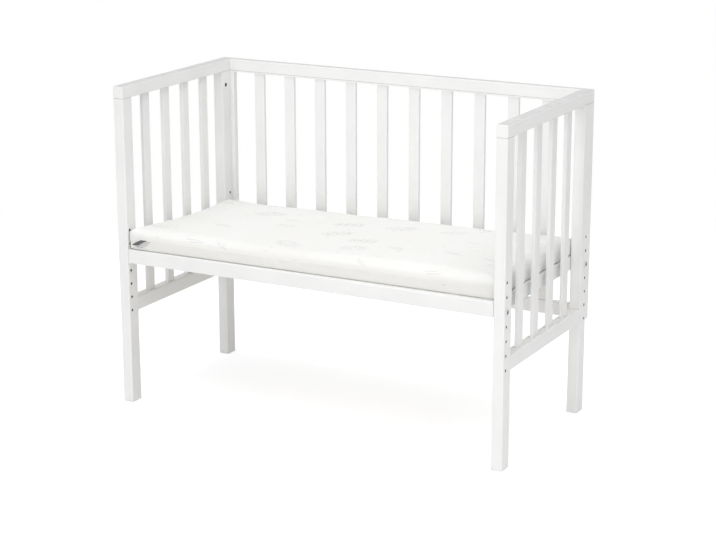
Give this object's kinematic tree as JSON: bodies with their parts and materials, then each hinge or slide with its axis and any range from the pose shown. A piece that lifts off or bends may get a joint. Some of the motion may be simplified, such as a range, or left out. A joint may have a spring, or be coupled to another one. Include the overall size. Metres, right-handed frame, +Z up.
{
  "type": "bedside sleeper crib",
  "caption": "White wooden bedside cot with barred ends and back, an open front, a bolted height-adjustable slatted base and a thin mattress.",
  "frame": {"origin": "on the floor, in the middle of the overall length and depth", "axes": "+X along the length towards the right end seen from the open front, +Y from the open front to the barred back, +Z up"},
  "size_m": [0.9798, 0.4724, 0.75],
  "materials": {
    "white_lacquer": "satin white lacquer on solid wood",
    "bare_pine": "planed, unfinished softwood",
    "dowel_beech": "raw",
    "plated_steel": "dark plated, satin",
    "zinc_steel": "bright zinc",
    "mattress_cover": "soft knitted cover, pale with faint grey print",
    "label_cloth": "woven tab, blank"
  },
  "bodies": {
    "frame": {"back_barrel_nuts": "zinc_steel", "back_bolts": "plated_steel", "back_left_stile": "white_lacquer", "back_lower_rail": "white_lacquer", "back_panel_dowels": "dowel_beech", "back_right_stile": "white_lacquer", "back_slat_1": "white_lacquer", "back_slat_10": "white_lacquer", "back_slat_2": "white_lacquer", "back_slat_3": "white_lacquer", "back_slat_4": "white_lacquer", "back_slat_5": "white_lacquer", "back_slat_6": "white_lacquer", "back_slat_7": "white_lacquer", "back_slat_8": "white_lacquer", "back_slat_9": "white_lacquer", "back_top_rail": "white_lacquer", "left_front_post": "white_lacquer", "left_lower_rail": "white_lacquer", "left_rear_post": "white_lacquer", "left_slat_1": "white_lacquer", "left_slat_2": "white_lacquer", "left_slat_3": "white_lacquer", "left_slat_4": "white_lacquer", "left_top_rail": "white_lacquer", "right_front_post": "white_lacquer", "right_lower_rail": "white_lacquer", "right_rear_post": "white_lacquer", "right_slat_1": "white_lacquer", "right_slat_2": "white_lacquer", "right_slat_3": "white_lacquer", "right_slat_4": "white_lacquer", "right_top_rail": "white_lacquer", "side_panel_dowels": "dowel_beech"},
    "base": {"base_barrel_nuts": "zinc_steel", "base_bolts": "plated_steel", "base_dowels": "dowel_beech", "base_front_ledge": "bare_pine", "base_front_rail": "white_lacquer", "base_left_end_rail": "white_lacquer", "base_rear_ledge": "bare_pine", "base_rear_rail": "white_lacquer", "base_right_end_rail": "white_lacquer", "deck_screws": "zinc_steel", "deck_slat_1": "bare_pine", "deck_slat_10": "bare_pine", "deck_slat_11": "bare_pine", "deck_slat_2": "bare_pine", "deck_slat_3": "bare_pine", "deck_slat_4": "bare_pine", "deck_slat_5": "bare_pine", "deck_slat_6": "bare_pine", "deck_slat_7": "bare_pine", "deck_slat_8": "bare_pine", "deck_slat_9": "bare_pine"},
    "mattress": {"mattress": "mattress_cover", "mattress_label": "label_cloth"}
  },
  "joints": [
    {"name": "base_height", "type": "slide", "parent": "frame", "child": "base", "axis": [0, 0, 1], "range_m": [-0.128, 0.064]},
    {"name": "mattress_lift", "type": "slide", "parent": "base", "child": "mattress", "axis": [0, 0, 1], "range_m": [0, 0.25]}
  ]
}
